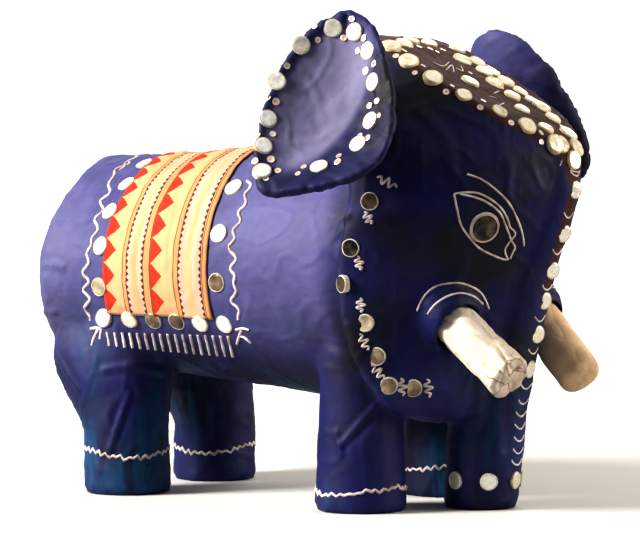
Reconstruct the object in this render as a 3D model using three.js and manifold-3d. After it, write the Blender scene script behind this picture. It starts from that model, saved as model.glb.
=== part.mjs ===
// A papier-mache elephant ornament: one pasted-paper body with four legs, a trunk that
// reaches the ground and two scooped ears, two paper tusks, a printed saddle cloth glued
// over its back, and round mirrors glued on as decoration.
// Millimetres. +X is the way the elephant faces, +Y is its left side, and z = 0 is the ground.
import * as THREE from "three";
import { mergeVertices } from "three/addons/utils/BufferGeometryUtils.js";
import Module from "manifold-3d";

const wasm = await Module();
wasm.setup();

// Driving dimensions
const glueGap = 0.35;

const barrel = {
  axisHeight: 251,
  midRadius: 138,
  flare: 0.09,
  midHalfWidth: 145,
  widen: 0.05,
  leastRise: 125,
  rumpX: -284,
  roundX: -120,
  neckX: 165,
  facets: 48,
};
const leg = { hindX: -194, hindY: 85, foreX: 113, foreY: 89, radius: 46, foot: 48.5, topHeight: 190 };
const trunk = { radius: 41, footRadius: 39, topHeight: 385 };
const head = { ceiling: 512, noseSet: 7, crownRear: 52, browHalfWidth: 200 };
const ear = {
  centre: new THREE.Vector3(154, 217, 423),
  facing: new THREE.Vector3(0.209, 0.88, 0.426),
  scoop: 27,
  thickness: 12,
  points: 30,
};
// The wad between the head and the ear's back, as shares of the ear's outline
const root = { inHead: new THREE.Vector3(128, 52, 421), share: 0.42, tall: 0.5, behindRim: 30 };
const tuskSize = {
  radius: 24.5,
  length: 101,
  buried: 18,
  sides: 14,
  lump: 0.03,
  collar: 13,
  collarRadius: 36,
  collarBuried: 30,
};
const tuskSides = {
  right: { base: new THREE.Vector3(223, -90, 200), along: new THREE.Vector3(0.8, -0.21, -0.56) },
  left: { base: new THREE.Vector3(223, 94, 200), along: new THREE.Vector3(0.7, -0.27, -0.66) },
};
const cloth = { rearX: -188, foreX: -45, hemDeg: -22.5, thickness: 1.2 };
const mirror = {
  radius: 10,
  smallRadius: 9,
  eyeRadius: 14,
  thickness: 2.2,
  bevel: 0.7,
  sides: 8,
  glueGap: 0.7,
};

const paint = {
  body: new THREE.MeshStandardMaterial({ color: 0x2b2a6b, roughness: 0.55, metalness: 0 }),
  tusk: new THREE.MeshStandardMaterial({ color: 0xe9e2d6, roughness: 0.8, metalness: 0 }),
  cloth: new THREE.MeshStandardMaterial({ color: 0xe9c98f, roughness: 0.9, metalness: 0 }),
  mirror: new THREE.MeshStandardMaterial({ color: 0xd8d6c6, roughness: 0.08, metalness: 1 }),
};

// A smooth profile: the value at t of a curve through [t, value] stations
function through(stations) {
  return (t) => {
    const last = stations.length - 1;
    if (t <= stations[0][0]) return stations[0][1];
    if (t >= stations[last][0]) return stations[last][1];
    const i = stations.findIndex((s) => s[0] > t) - 1;
    const slope = (k) => {
      const a = stations[Math.max(k - 1, 0)];
      const b = stations[Math.min(k + 1, last)];
      return (b[1] - a[1]) / (b[0] - a[0]);
    };
    const [t0, v0] = stations[i];
    const [t1, v1] = stations[i + 1];
    const span = t1 - t0;
    const u = (t - t0) / span;
    const rise = (v1 - v0) * u * u * (3 - 2 * u);
    return v0 + rise + span * u * (1 - u) * (slope(i) * (1 - u) - slope(i + 1) * u);
  };
}

// A closed skin over rings of points, each ring the same length and going the same way
// round, anticlockwise seen from the last ring
function loft(rings) {
  const count = rings[0].length;
  const positions = rings.flat().flatMap((p) => [p.x, p.y, p.z]);
  const faces = [];
  for (let r = 0; r + 1 < rings.length; r += 1) {
    for (let i = 0; i < count; i += 1) {
      const j = (i + 1) % count;
      const a = r * count + i;
      const b = r * count + j;
      faces.push(a, b, b + count, a, b + count, a + count);
    }
  }
  const top = (rings.length - 1) * count;
  for (let i = 1; i + 1 < count; i += 1) {
    faces.push(0, i + 1, i);
    faces.push(top, top + i, top + i + 1);
  }
  const geometry = new THREE.BufferGeometry();
  geometry.setAttribute("position", new THREE.Float32BufferAttribute(positions, 3));
  geometry.setIndex(faces);
  return geometry;
}

function solid(geometry) {
  const bare = geometry.clone();
  bare.deleteAttribute("normal");
  bare.deleteAttribute("uv");
  const merged = mergeVertices(bare, 1e-4);
  return new wasm.Manifold(new wasm.Mesh({
    numProp: 3,
    vertProperties: new Float32Array(merged.attributes.position.array),
    triVerts: new Uint32Array(merged.index.array),
  }));
}

function geometryOf(manifold) {
  const mesh = manifold.getMesh();
  const geometry = new THREE.BufferGeometry();
  geometry.setAttribute("position", new THREE.BufferAttribute(mesh.vertProperties, 3));
  geometry.setIndex(new THREE.BufferAttribute(mesh.triVerts, 1));
  geometry.computeVertexNormals();
  return geometry;
}

// A sine or cosine bent towards a fuller section, over 2, or a flatter one, under 2
const rounded = (value, power) => Math.sign(value) * Math.abs(value) ** (2 / power);

const angles = (count) => Array.from({ length: count }, (_, i) => (2 * Math.PI * i) / count);

// The drum of the body

// It grows towards the neck, and its back keeps level towards the rump
const drumDrop = (x) => barrel.midRadius + barrel.flare * x;
const drumRise = (x) => Math.max(drumDrop(x), barrel.leastRise);
const drumHalfWidth = (x) => barrel.midHalfWidth + barrel.widen * x;
const drumLevelX = (barrel.leastRise - barrel.midRadius) / barrel.flare;
// Its section is round, but at the rump it is peaked above its axis and full below it
const rumpShare = (x) => THREE.MathUtils.clamp((barrel.roundX - x) / (barrel.roundX - barrel.rumpX), 0, 1);
const drumPower = (x, above) => 2 + rumpShare(x) * (above ? -0.5 : 0.5);

// A point on the drum, at an angle up from the elephant's left side
function drumPoint(x, angle, scale = 1, proud = 0) {
  const above = Math.sin(angle) > 0;
  const high = above ? drumRise(x) : drumDrop(x);
  const power = drumPower(x, above);
  const y = (drumHalfWidth(x) * scale + proud) * rounded(Math.cos(angle), power);
  const z = (high * scale + proud) * rounded(Math.sin(angle), power);
  return new THREE.Vector3(x, y, barrel.axisHeight + z);
}

function drum() {
  const stations = [
    [barrel.rumpX - 13, 0.45],
    [barrel.rumpX - 9, 0.85],
    [barrel.rumpX - 3, 0.96],
    [barrel.rumpX + 8, 1],
    [cloth.rearX, 1],
    [drumLevelX, 1],
    [cloth.foreX, 1],
    [barrel.neckX, 1],
  ];
  return loft(stations.map(([x, scale]) => angles(barrel.facets).map((a) => drumPoint(x, a, scale))));
}

// The haunch: a full pad over each hind leg, which carries the flank and the rump down to it,
// as rings of [z, x, y, half-length, half-width]
const haunchRings = [
  [72, -195, 85, 47, 47],
  [90, -202, 83, 54, 49],
  [110, -210, 79, 62, 54],
  [130, -217, 76, 70, 58],
  [150, -220, 74, 74, 58],
  [175, -220, 69, 74, 56],
  [198, -218, 62, 72, 54],
  [240, -210, 50, 66, 50],
];

function haunch(side) {
  const ring = ([z, x, y, long, wide]) => angles(24).map(
    (a) => new THREE.Vector3(x + long * Math.cos(a), side * y + wide * Math.sin(a), z),
  );
  return loft(haunchRings.map(ring));
}

function upright(x, y, stations, facets) {
  const ring = ([z, r]) => angles(facets).map(
    (a) => new THREE.Vector3(x + r * Math.cos(a), y + r * Math.sin(a), z),
  );
  return loft(stations.map(ring));
}

function legPost(x, y) {
  const stations = [
    [0, leg.foot - 2.5],
    [3, leg.foot],
    [26, leg.foot - 1],
    [70, leg.radius],
    [125, leg.radius - 3],
    [leg.topHeight, leg.radius - 3],
  ];
  return upright(x, y, stations, 24);
}

// The head and the trunk

const trunkFront = through([[0, 247], [50, 253], [100, 257], [184, 275], [251, 291], [334, 319], [385, 318]]);
const headHalfWidth = through([
  [92, 62], [106, 112], [128, 146], [165, 163], [245, 168], [330, 165], [396, 148], [473, 103], [512, 92],
]);
const headWidestX = through([
  [92, 182], [128, 168], [165, 150], [245, 133], [330, 148], [400, 145], [512, 132],
]);
const headBackReach = through([[92, 40], [165, 24], [320, 22], [400, 84], [512, 76]]);
// How full the flanks are between the cheek and the trunk: 1 is straight, 2 is round
const flankPower = through([[92, 1.3], [200, 1.3], [290, 1.6], [340, 1.75], [400, 1.62]]);

function headRing(z) {
  const wide = headHalfWidth(z);
  const middle = headWidestX(z);
  const reach = trunkFront(z) - head.noseSet - middle;
  const back = headBackReach(z);
  return angles(44).map((a) => {
    const ahead = Math.cos(a) > 0;
    const power = ahead ? flankPower(z) : 2;
    const x = middle + (ahead ? reach : back) * rounded(Math.cos(a), power);
    return new THREE.Vector3(x, wide * rounded(Math.sin(a), power), z);
  });
}

function headBlock() {
  const heights = [92, 98, 106, 116, 128, 145, 165, 200, 245, 290, 330, 365, 396, 430, 473, head.ceiling];
  return loft(heights.map(headRing));
}

function trunkPost() {
  const heights = [0, 3, 50, 100, 145, 184, 218, 251, 290, 334, 360, trunk.topHeight];
  const radiusAt = through([[0, trunk.footRadius - 2.5], [3, trunk.footRadius], [100, trunk.radius]]);
  const rings = heights.map((z) => {
    const r = radiusAt(z);
    const x = trunkFront(z) - trunk.radius;
    return angles(28).map((a) => new THREE.Vector3(x + r * Math.cos(a), r * Math.sin(a), z));
  });
  return loft(rings);
}

// The air over the forehead, which is a flat ramp from the crown down to the brow
const browLine = [
  [66, 502], [109, 498], [143, 485], [177, 466], [206, 449], [267, 412], [312, 382], [326, 352],
];

function airAboveBrow() {
  const shape = new THREE.Shape();
  shape.moveTo(head.crownRear, 470);
  browLine.forEach(([x, z]) => shape.lineTo(x, z));
  shape.lineTo(360, 352);
  shape.lineTo(360, 560);
  shape.lineTo(20, 560);
  shape.lineTo(20, 470);
  shape.closePath();
  const half = head.browHalfWidth;
  const prism = new THREE.ExtrudeGeometry(shape, { depth: 2 * half, bevelEnabled: false, steps: 1 });
  prism.rotateX(Math.PI / 2);
  prism.translate(0, half, 0);
  return prism;
}

// An ear: a scooped dish whose rim lies in one plane that leans outwards at the bottom

// The rim's outline, ahead and up from the ear's middle, on the elephant's left side
const earRim = new THREE.CatmullRomCurve3(
  [
    [4, 105], [-31, 84], [-56, 46], [-70, -5], [-70, -66], [-58, -100], [-18, -100],
    [27, -90], [61, -69], [71, -25], [60, 28], [32, 90],
  ].map(([u, v]) => new THREE.Vector3(u, v, 0)),
  true,
);

function earFrame(side) {
  const facing = new THREE.Vector3(ear.facing.x, side * ear.facing.y, ear.facing.z).normalize();
  const ahead = new THREE.Vector3(facing.y, -facing.x, 0).multiplyScalar(side).normalize();
  const up = new THREE.Vector3().crossVectors(ahead, facing).multiplyScalar(side).normalize();
  const centre = new THREE.Vector3(ear.centre.x, side * ear.centre.y, ear.centre.z);
  return (u, v, h) => centre
    .clone()
    .addScaledVector(ahead, u)
    .addScaledVector(up, v)
    .addScaledVector(facing, h);
}

const scoopAt = (share) => -ear.scoop * (1 - share * share);

// The rim's points, ordered so that a loft towards the front face turns its skin outwards
function rimPoints(side) {
  const points = Array.from({ length: ear.points }, (_, i) => earRim.getPoint(i / ear.points));
  return side > 0 ? points.reverse() : points;
}

function earDish(side) {
  const place = earFrame(side);
  const rings = [
    [0.5, scoopAt(0.5) - ear.thickness],
    [0.9, scoopAt(0.9) - ear.thickness],
    [0.97, scoopAt(1) - ear.thickness],
    [1, scoopAt(1) - ear.thickness * 0.75],
    [1, scoopAt(1) - ear.thickness * 0.25],
    [0.97, scoopAt(1)],
    [0.9, scoopAt(0.9)],
    [0.6, scoopAt(0.6)],
    [0.25, scoopAt(0.25)],
  ];
  const points = rimPoints(side);
  return loft(rings.map(([share, h]) => points.map((p) => place(p.x * share, p.y * share, h))));
}

// The root: the wad of paper that joins the ear's back to the side of the head
function earRoot(side) {
  const place = earFrame(side);
  const points = rimPoints(side);
  const inHead = points.map((p) => new THREE.Vector3(
    root.inHead.x + p.x * root.share,
    root.inHead.y * side,
    root.inHead.z + p.y * root.tall,
  ));
  const inEar = points.map((p) => place(p.x * root.share, p.y * root.share, -root.behindRim));
  const between = points.map((p, i) => inHead[i].clone().lerp(inEar[i], 0.6));
  return loft([inHead, between, inEar]);
}

// The tusks

function alongFrame(base, along) {
  const upright = new THREE.Vector3(0, 0, 1);
  const turn = new THREE.Quaternion().setFromUnitVectors(upright, along.clone().normalize());
  return (radius, angle, t) => new THREE.Vector3(radius * Math.cos(angle), radius * Math.sin(angle), t)
    .applyQuaternion(turn)
    .add(base);
}

function tapered({ base, along }, stations, sides, lump = 0) {
  const place = alongFrame(base, along);
  const ring = ([t, radius]) => angles(sides).map(
    (a, i) => place(radius * (1 + lump * Math.sin(2.6 * i)), a, t),
  );
  return loft(stations.map(ring));
}

function tuskRoll(spot) {
  const r = tuskSize.radius;
  const end = tuskSize.length;
  const stations = [
    [-tuskSize.buried, r - 2],
    [tuskSize.collar, r - 0.5],
    [end * 0.6, r],
    [end - 4, r + 0.5],
    [end, r - 4],
  ];
  return tapered(spot, stations, tuskSize.sides, tuskSize.lump);
}

function collar(spot) {
  const stations = [
    [-tuskSize.collarBuried, tuskSize.collarRadius],
    [0, tuskSize.collarRadius - 3],
    [tuskSize.collar, tuskSize.radius + 4],
  ];
  return tapered(spot, stations, 24);
}

function tuskSocket(spot) {
  const r = tuskSize.radius * (1 + tuskSize.lump) + glueGap + 0.2;
  return tapered(spot, [[-tuskSize.buried - glueGap, r], [tuskSize.length, r + 1.2]], 24);
}

// The body as one solid
function bodySolid() {
  let whole = solid(headBlock()).add(solid(trunkPost())).subtract(solid(airAboveBrow()));
  whole = whole.add(solid(drum()));
  for (const side of [-1, 1]) {
    whole = whole.add(solid(haunch(side)));
    whole = whole.add(solid(legPost(leg.hindX, side * leg.hindY)));
    whole = whole.add(solid(legPost(leg.foreX, side * leg.foreY)));
    whole = whole.add(solid(earRoot(side))).add(solid(earDish(side)));
  }
  for (const spot of Object.values(tuskSides)) whole = whole.add(solid(collar(spot)));
  for (const spot of Object.values(tuskSides)) whole = whole.subtract(solid(tuskSocket(spot)));
  return whole;
}

// The saddle cloth: a thin skin over the drum, made of rings that go over the back from hem
// to hem, each from its outer to its inner face
function saddleCloth() {
  const step = (2 * Math.PI) / barrel.facets;
  const hem = THREE.MathUtils.degToRad(cloth.hemDeg);
  const count = Math.round((Math.PI - 2 * hem) / step);
  const section = [
    [drumLevelX, cloth.thickness],
    [cloth.rearX, cloth.thickness],
    [cloth.rearX, 0],
    [drumLevelX, 0],
    [cloth.foreX, 0],
    [cloth.foreX, cloth.thickness],
  ];
  const ring = (a) => section.map(([x, proud]) => drumPoint(x, a, 1, glueGap + proud));
  return loft(Array.from({ length: count + 1 }, (_, i) => ring(hem + i * step)));
}

function addMesh(parent, name, geometry, material) {
  const mesh = new THREE.Mesh(geometry, material);
  mesh.name = name;
  parent.add(mesh);
  return mesh;
}

const elephant = new THREE.Group();
const body = addMesh(elephant, "body", geometryOf(bodySolid()), paint.body);
addMesh(elephant, "tusk_right", tuskRoll(tuskSides.right), paint.tusk);
addMesh(elephant, "tusk_left", tuskRoll(tuskSides.left), paint.tusk);
const clothOnBack = addMesh(elephant, "saddle_cloth", saddleCloth(), paint.cloth);

// The mirrors: bevelled discs, each seated on the skin under it

const ray = new THREE.Raycaster();

function skinPoint(origin, direction) {
  ray.set(origin, direction);
  return ray.intersectObjects([body, clothOnBack])[0]?.point;
}

function mirrorDisc(radius) {
  const t = mirror.thickness;
  const profile = [[0, radius], [t - mirror.bevel, radius], [t, radius - mirror.bevel]];
  return upright(0, 0, profile, mirror.sides);
}

// The skin under a ring of points round a spot, looked for along a direction
function skinRing(spot, aim, radius, count) {
  const across = new THREE.Vector3(0, 0, 1).cross(aim).normalize();
  const upward = new THREE.Vector3().crossVectors(aim, across);
  return angles(count).map((a) => skinPoint(
    spot.clone().addScaledVector(across, radius * Math.cos(a)).addScaledVector(upward, radius * Math.sin(a)),
    aim,
  ));
}

// Seats a disc where a line from outside, going along inward, first meets the skin
function seatMirror(name, origin, inward, radius = mirror.radius) {
  const aim = inward.clone().normalize();
  const centre = skinPoint(origin, aim);
  const rim = skinRing(origin, aim, radius, 12);
  const outward = new THREE.Vector3();
  for (let i = 0; i < 12; i += 1) {
    const a = rim[i].clone().sub(rim[(i + 6) % 12]);
    const b = rim[(i + 3) % 12].clone().sub(rim[(i + 9) % 12]);
    outward.add(a.cross(b));
  }
  outward.normalize();
  if (outward.dot(aim) > 0) outward.negate();
  const above = centre.clone().addScaledVector(outward, 2 * radius);
  const downward = outward.clone().negate();
  const under = [1.02, 0.85, 0.5].flatMap((share) => skinRing(above, downward, radius * share, 20));
  const high = Math.max(0, ...under.map((p) => (p ? p.clone().sub(centre).dot(outward) : 0)));
  const mesh = addMesh(elephant, name, mirrorDisc(radius), paint.mirror);
  mesh.quaternion.setFromUnitVectors(new THREE.Vector3(0, 0, 1), outward);
  mesh.position.copy(centre).addScaledVector(outward, high + mirror.glueGap);
}

// How far outside the skin the lines start: clear of all, beside the face but inside the
// ears, and round the trunk's foot but clear of the legs
const far = 400;
const besideFace = 190;
const roundFoot = 60;
const eye = { x: 251.7, y: 81.3, z: 296, gaze: [0.7, 0.71, 0] };
const degrees = THREE.MathUtils.degToRad;
const sides = [["right", -1], ["left", 1]];
const numbered = (stem, k) => `${stem}_${String(k + 1).padStart(2, "0")}`;

// Round the saddle cloth, as [x, degrees up the flank]
const saddleRow = Array.from({ length: 6 }, (_, k) => [-194 + k * 32.2, -25]);
const saddleRear = [66, 47, 27.5, 9.5, -9.5].map((up) => [-195, up]);
const saddleFore = [38, 15, -6].map((up) => [-33.5, up]);
// Down the edge of the face, as [x, z]
const faceEdge = [[168, 322], [148, 275], [138, 238], [159, 199], [169, 165], [178, 135], [195, 132]];
// Down the front of the trunk, as z
const trunkColumn = [334, 289, 251, 219, 184, 147];
// Round the trunk's foot, in degrees from the elephant's right side towards its front
const footTurns = [-18, 38, 90, 122, 190];
const footRowHeight = 30;

for (const [label, side] of sides) {
  [...saddleRear, ...saddleRow, ...saddleFore].forEach(([x, up], k) => {
    const out = new THREE.Vector3(0, side * Math.cos(degrees(up)), Math.sin(degrees(up)));
    const from = new THREE.Vector3(x, 0, barrel.axisHeight).addScaledVector(out, far);
    seatMirror(numbered(`mirror_saddle_${label}`, k), from, out.negate());
  });
  faceEdge.forEach(([x, z], k) => {
    const from = new THREE.Vector3(x, side * besideFace, z);
    seatMirror(numbered(`mirror_face_${label}`, k), from, new THREE.Vector3(0, -side, 0));
  });
  const gaze = new THREE.Vector3(eye.gaze[0], side * eye.gaze[1], eye.gaze[2]);
  const ahead = new THREE.Vector3(eye.x, side * eye.y, eye.z).addScaledVector(gaze, far);
  seatMirror(`mirror_eye_${label}`, ahead, gaze.negate(), mirror.eyeRadius);
}
trunkColumn.forEach((z, k) => {
  const from = new THREE.Vector3(trunkFront(z) + far, 0, z);
  seatMirror(numbered("mirror_trunk", k), from, new THREE.Vector3(-1, 0, 0), mirror.smallRadius);
});
footTurns.forEach((turn, k) => {
  const out = new THREE.Vector3(Math.sin(degrees(turn)), -Math.cos(degrees(turn)), 0);
  const axis = new THREE.Vector3(trunkFront(footRowHeight) - trunk.radius, 0, footRowHeight);
  const from = axis.addScaledVector(out, roundFoot);
  seatMirror(numbered("mirror_trunk_foot", k), from, out.negate(), mirror.smallRadius);
});

// The origin is on the ground, under the middle of the whole elephant's box
const bounds = new THREE.Box3().setFromObject(elephant);
const middle = bounds.getCenter(new THREE.Vector3());
elephant.position.set(-middle.x, -middle.y, -bounds.min.z);

const part = new THREE.Group();
part.add(elephant);
part.updateMatrixWorld(true);

export default part;
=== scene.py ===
# %% [markdown]
# # A papier-mache elephant
# The real thing is card, tubes and pasted paper, painted violet-blue, with round mirrors, sequins and
# raised lines of fabric paint. The CAD frame gives its true size and place. This lesson makes what the
# eye sees on top of it: the soft pasted skin, the printed cloth, the glued mirrors and the paint.

# %% Load the frame
import math
import random

import bmesh
import bpy
import numpy as np
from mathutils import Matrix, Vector, noise
from mathutils.bvhtree import BVHTree


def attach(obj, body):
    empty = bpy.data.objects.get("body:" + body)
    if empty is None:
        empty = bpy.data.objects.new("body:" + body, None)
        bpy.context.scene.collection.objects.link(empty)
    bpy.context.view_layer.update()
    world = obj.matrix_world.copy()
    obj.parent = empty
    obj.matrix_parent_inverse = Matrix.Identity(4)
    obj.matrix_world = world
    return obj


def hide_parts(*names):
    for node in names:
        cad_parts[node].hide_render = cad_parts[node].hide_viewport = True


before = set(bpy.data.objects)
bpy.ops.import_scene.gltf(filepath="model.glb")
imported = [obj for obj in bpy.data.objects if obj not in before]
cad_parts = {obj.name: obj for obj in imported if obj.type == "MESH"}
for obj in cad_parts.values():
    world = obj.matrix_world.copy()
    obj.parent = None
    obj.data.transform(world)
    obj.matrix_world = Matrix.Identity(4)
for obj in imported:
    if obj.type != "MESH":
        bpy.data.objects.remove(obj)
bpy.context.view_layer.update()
scene = bpy.context.scene

# %% [markdown]
# ## The camera
# It stands ahead of the elephant's right side, just above the height of its back. A long lens from far
# off keeps the near legs and the far legs almost the same size.

# %% The camera
LENS = 146.25
SENSOR = 36.0
PHOTO = (640, 544)

def placed(name, data):
    """A new object of that mesh, lamp or camera, in the scene."""
    made = bpy.data.objects.new(name, data)
    scene.collection.objects.link(made)
    return made


camera_data = bpy.data.cameras.new("camera")
camera_data.lens = LENS
camera_data.sensor_width = SENSOR
camera = placed("camera", camera_data)
camera.location = (1.5235, -2.4027, 0.3241)
aim = Vector((-0.53709, 0.84306, -0.02792))
camera.rotation_euler = aim.to_track_quat("-Z", "Y").to_euler()
scene.camera = camera
print("camera at", [round(x, 3) for x in camera.location])


# %% [markdown]
# ## Small helpers
# A node is added, given its settings and its values, and wired to others. Every material and every
# Geometry Nodes tree below is built with these few lines, so they come first.

# %% Node helpers
def add(tree, kind, settings=None, **inputs):
    """A node of that kind. An input's value is a number, a colour or another node's output."""
    made = tree.nodes.new(kind)
    for name, value in (settings or {}).items():
        setattr(made, name, value)
    for name, value in inputs.items():
        place = int(name[1:]) if name[0] == "_" else name.replace("_", " ")
        if isinstance(value, bpy.types.NodeSocket):
            tree.links.new(value, made.inputs[place])
        else:
            made.inputs[place].default_value = value
    return made


def calc(tree, operation, a, b=0.0, c=0.0):
    """The output of a Math node."""
    made = add(tree, "ShaderNodeMath", {"operation": operation}, _0=a, _1=b, _2=c)
    return made.outputs[0]


def times(tree, a, b):
    """The product of two values."""
    return calc(tree, "MULTIPLY", a, b)


def own_place(tree):
    """A point's place on the piece itself, in metres."""
    return add(tree, "ShaderNodeTexCoord").outputs["Object"]


def kept(tree, name):
    """A number kept on the points of the mesh."""
    return add(tree, "ShaderNodeAttribute", {"attribute_name": name}).outputs["Fac"]


def noise_in(tree, place, scale, detail, **more):
    """The grey output of a Noise Texture."""
    return add(tree, "ShaderNodeTexNoise", Vector=place, Scale=scale, Detail=detail, **more).outputs[0]


def blend(tree, factor, first, second, how="MIX"):
    """The output of a node that mixes two colours."""
    made = add(tree, "ShaderNodeMix", {"data_type": "RGBA", "blend_type": how})
    for place, value in ((0, factor), (6, first), (7, second)):
        if isinstance(value, bpy.types.NodeSocket):
            tree.links.new(value, made.inputs[place])
        else:
            made.inputs[place].default_value = value
    return made.outputs[2]


def ramp(tree, value, *stops):
    """The output of a Color Ramp with stops of (place, colour)."""
    made = add(tree, "ShaderNodeValToRGB", Fac=value)
    elements = made.color_ramp.elements
    while len(elements) < len(stops):
        elements.new(0.5)
    for element, (place, colour) in zip(elements, stops):
        element.position = place
        element.color = colour if len(colour) == 4 else (*colour, 1)
    return made.outputs["Color"]


def grey(level):
    return (level, level, level, 1)


print("a half grey is", grey(0.5))

# %% [markdown]
# ## Colours
# Photographs and paint charts give display colours. Shaders want linear light, so this line turns one
# into the other and keeps the rest of the lesson in familiar 0 to 255 numbers.

# %% Colours
def shade(red, green, blue):
    """A display colour, 0 to 255, as the linear colour that a shader takes."""
    def linear(c):
        c = c / 255
        return c / 12.92 if c <= 0.04045 else ((c + 0.055) / 1.055) ** 2.4
    return (linear(red), linear(green), linear(blue), 1)


VIOLET = shade(76, 76, 146)
NAVY = shade(42, 45, 112)
# Painted shade: a mottled near-black navy for the head, the trunk, the legs and the ears' rims.
SHADE_BLUE = shade(15, 21, 84)
SHADE_NAVY = shade(6, 8, 24)
TEAL = shade(28, 84, 124)
# Pale dust, which also serves as a painted glare on the barrel, the rump and the ears.
DUST_AND_GLARE = shade(150, 146, 170)
PLUM = shade(86, 54, 48)
PLUM_DARK = shade(54, 35, 38)
CREAM_PAINT = shade(240, 232, 228)
GLUE = shade(244, 238, 226)
TUSK = shade(242, 233, 220)
TUSK_STAIN = shade(150, 112, 80)
print("violet is", [round(x, 3) for x in VIOLET[:3]])

# %% [markdown]
# ## Effects that several materials share
# Brushed poster paint is never even: it is thin here, thick there, and dusty where hands and shelves
# touch it; on the body its pale smudges also stand for a painted glare. Pasted paper shows its sheets
# as faint steps and puckers. Each effect is one node group with values of its own: the body's two
# paints use the first, and the body and the tusks use the second.


# %% A group for brushed paint
def new_group(name, inputs, outputs):
    """A shader node group with named sockets. Returns it, its inputs and its output node."""
    group = bpy.data.node_groups.new(name, "ShaderNodeTree")
    for label, kind, value in inputs:
        socket = group.interface.new_socket(label, in_out="INPUT", socket_type=kind)
        socket.default_value = value
    for label, kind in outputs:
        group.interface.new_socket(label, in_out="OUTPUT", socket_type=kind)
    given = group.nodes.new("NodeGroupInput").outputs
    result = group.nodes.new("NodeGroupOutput")
    return group, given, result


def make_brushed_paint():
    group, given, result = new_group(
        "brushed paint",
        [
            ("Thick", "NodeSocketColor", grey(0.3)),
            ("Thin", "NodeSocketColor", grey(0.1)),
            ("Dust", "NodeSocketColor", grey(0.6)),
            ("Dustiness", "NodeSocketFloat", 0.3),
        ],
        [("Color", "NodeSocketColor"), ("Roughness", "NodeSocketFloat")],
    )
    place = own_place(group)
    broad = noise_in(group, place, 11, 5, Roughness=0.6)
    turned = add(group, "ShaderNodeMapping", Vector=place, Rotation=(0.5, 0.35, 0.2), Scale=(34, 34, 88))
    strokes = noise_in(group, turned.outputs[0], 1, 3, Distortion=1.4)
    cover = calc(group, "ADD", times(group, broad, 0.75), times(group, strokes, 0.25))
    cover = ramp(group, cover, (0.38, grey(0)), (0.6, grey(1)))
    colour = blend(group, cover, given["Thin"], given["Thick"])
    smudge = noise_in(group, place, 5.5, 7, Roughness=0.7)
    smudged = ramp(group, smudge, (0.45, grey(0)), (0.75, grey(1)))
    pale_smudges = times(group, smudged, given["Dustiness"])
    colour = blend(group, pale_smudges, colour, given["Dust"])
    group.links.new(colour, result.inputs["Color"])
    rough = calc(group, "MULTIPLY_ADD", strokes, 0.2, 0.5)
    group.links.new(calc(group, "MULTIPLY_ADD", pale_smudges, 0.2, rough), result.inputs["Roughness"])
    return group


brushed_paint = make_brushed_paint()
print("made group", brushed_paint.name)


# %% A group for pasted paper
def make_pasted_paper():
    group, given, result = new_group(
        "pasted paper",
        [
            ("Sheets per metre", "NodeSocketFloat", 16.0),
            ("Step", "NodeSocketFloat", 0.5),
            ("Pucker", "NodeSocketFloat", 0.5),
        ],
        [("Height", "NodeSocketFloat")],
    )
    place = own_place(group)
    bend = add(group, "ShaderNodeTexNoise", Vector=place, Scale=14, Detail=3)
    moved = add(group, "ShaderNodeMix", {"data_type": "VECTOR"}, _0=0.06, _4=place, _5=bend.outputs[1])
    cells = add(group, "ShaderNodeTexVoronoi", {"feature": "F1"},
                Vector=moved.outputs[1], Scale=given[0], Randomness=1.0)
    ply = add(group, "ShaderNodeSeparateColor", Color=cells.outputs["Color"]).outputs[0]
    step = times(group, ply, given["Step"])
    puckers = add(group, "ShaderNodeTexNoise", {"noise_type": "RIDGED_MULTIFRACTAL"},
                  Vector=moved.outputs[1], Scale=38, Detail=3, Roughness=0.55)
    lines = times(group, puckers.outputs[0], given["Pucker"])
    fine = times(group, noise_in(group, place, 520, 2), 0.08)
    total = calc(group, "ADD", calc(group, "ADD", step, lines), fine)
    group.links.new(total, result.inputs["Height"])
    return group


pasted_paper = make_pasted_paper()
print("made group", pasted_paper.name)


# %% [markdown]
# ## The body's finish
# One skin carries several paints: violet-blue on the barrel, a near-black navy that is painted shade
# on the head, the trunk, the legs and the ears' rims, a greener blue over the legs and the plum brown of
# the forehead. Numbers kept on each point of the skin say where each goes. They are named for the
# painted shade, the teal and the strip, and one more says where the paint is pale, partly dust and
# partly a painted glare.

# %% The body's material
def new_material(name, roughness=0.6, specular=0.5, metallic=0.0):
    """A material with a Principled shader. Returns it, its tree and the shader."""
    material = bpy.data.materials.new(name)
    material.use_nodes = True
    shader = material.node_tree.nodes["Principled BSDF"]
    shader.inputs["Roughness"].default_value = roughness
    shader.inputs["Specular IOR Level"].default_value = specular
    shader.inputs["Metallic"].default_value = metallic
    return material, material.node_tree, shader


def coloured(tree, shader, colour):
    tree.links.new(colour, shader.inputs["Base Color"])


def use_group(tree, group, **inputs):
    return add(tree, "ShaderNodeGroup", {"node_tree": group}, **inputs)


def bumped(tree, shader, height, strength, depth):
    bump = add(tree, "ShaderNodeBump", Strength=strength, Distance=depth, Height=height)
    tree.links.new(bump.outputs[0], shader.inputs["Normal"])


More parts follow.
